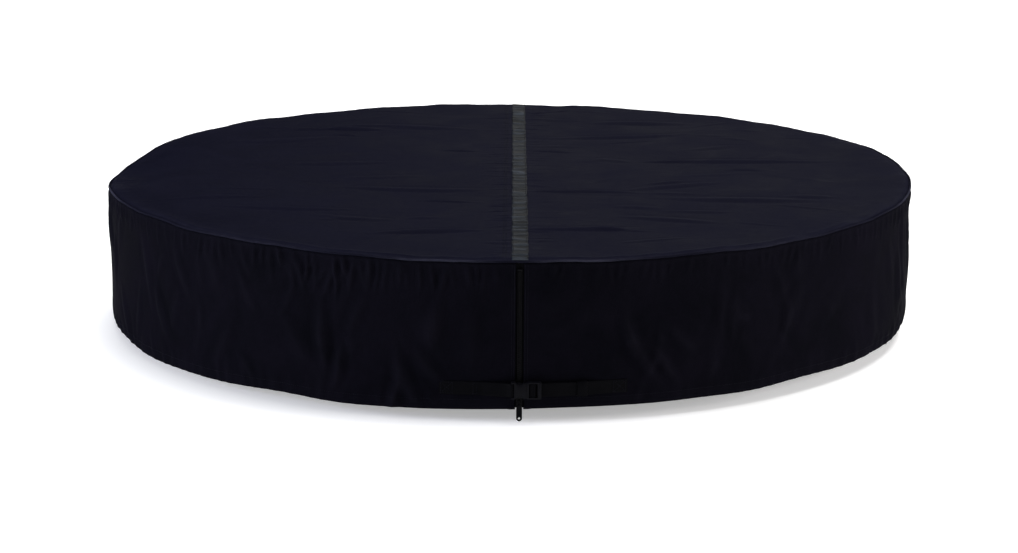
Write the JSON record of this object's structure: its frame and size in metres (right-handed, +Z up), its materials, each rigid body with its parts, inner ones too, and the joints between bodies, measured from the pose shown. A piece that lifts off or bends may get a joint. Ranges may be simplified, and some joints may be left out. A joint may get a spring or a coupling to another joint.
{
  "type": "spa cover",
  "caption": "Round slip-over spa cover: flat two-panel top with a reflective centre strip, a skirt with a front zip, and a buckled webbing strap near the hem.",
  "frame": {"origin": "middle of the underside of the top, which rests on the spa", "axes": "+Z up, front with the zip and the buckle towards -Y, +X to the right as seen from the front"},
  "size_m": [1.6634, 1.6786, 0.299],
  "materials": {
    "top_cloth": "near-black coated woven polyester, faint navy tinge, dull sheen",
    "skirt_cloth": "the same coated woven polyester, hanging in soft folds",
    "piping_cloth": "cord wrapped in the cover's cloth",
    "reflective_tape": "grey reflective tape, finely puckered",
    "seam_tape": "cloth tape",
    "elastic": "ribbed woven elastic",
    "zip_tape": "herringbone zip tape",
    "zip_plastic": "moulded acetal teeth",
    "webbing": "ribbed black webbing",
    "buckle_plastic": "fine-grained black acetal",
    "slider_metal": "black enamelled zinc die casting"
  },
  "bodies": {
    "cover": {"top_panel_left": "top_cloth", "top_panel_right": "top_cloth", "reflective_strip": "reflective_tape", "rim_piping_left": "piping_cloth", "rim_piping_right": "piping_cloth", "skirt_left": "skirt_cloth", "skirt_right": "skirt_cloth", "back_seam_tape": "seam_tape", "hem_elastic_left": "elastic", "hem_elastic_right": "elastic", "strap_patch_left": "seam_tape", "strap_patch_right": "seam_tape", "zip_tape_left": "zip_tape", "zip_tape_right": "zip_tape", "zip_teeth_left": "zip_plastic", "zip_teeth_right": "zip_plastic", "zip_stop_left": "zip_plastic", "zip_stop_right": "zip_plastic", "zip_end_stop": "zip_plastic", "strap_left": "webbing", "strap_right": "webbing", "buckle_socket": "buckle_plastic"},
    "slider": {"zip_slider_front": "slider_metal", "zip_slider_back": "slider_metal"},
    "pull": {"zip_pull": "slider_metal"},
    "plug": {"buckle_plug": "buckle_plastic"},
    "prong_upper": {"plug_prong_upper": "buckle_plastic"},
    "prong_lower": {"plug_prong_lower": "buckle_plastic"},
    "keeper": {"strap_keeper": "buckle_plastic"}
  },
  "joints": [
    {"name": "zip_slide", "type": "slide", "parent": "cover", "child": "slider", "axis": [0, 0, 1], "range_m": [0, 0.234]},
    {"name": "pull_swing", "type": "hinge", "parent": "slider", "child": "pull", "pos_m": [0.02011, -0.83416, -0.259], "axis": [-0.9997, -0.0241, 0], "range_deg": [0, 100]},
    {"name": "buckle_release", "type": "slide", "parent": "cover", "child": "plug", "axis": [0.9997, 0.0241, 0], "range_m": [0, 0.024], "deforming": ["strap_right"]},
    {"name": "prong_squeeze_upper", "type": "hinge", "parent": "plug", "child": "prong_upper", "pos_m": [0.0313, -0.84199, -0.2266], "axis": [0.0241, -0.9997, 0], "range_deg": [0, 7], "stiffness_Nm_per_rad": 0.3},
    {"name": "prong_squeeze_lower", "type": "hinge", "parent": "plug", "child": "prong_lower", "pos_m": [0.0313, -0.84199, -0.2434], "axis": [-0.0241, 0.9997, 0], "range_deg": [0, 7], "stiffness_Nm_per_rad": 0.3},
    {"name": "keeper_slide", "type": "slide", "parent": "cover", "child": "keeper", "axis": [0.9744, 0.2248, 0], "range_m": [-0.025, 0.012]}
  ],
  "couplings": [
    {"joint": "prong_squeeze_lower", "follows": "prong_squeeze_upper", "ratio": 1}
  ]
}
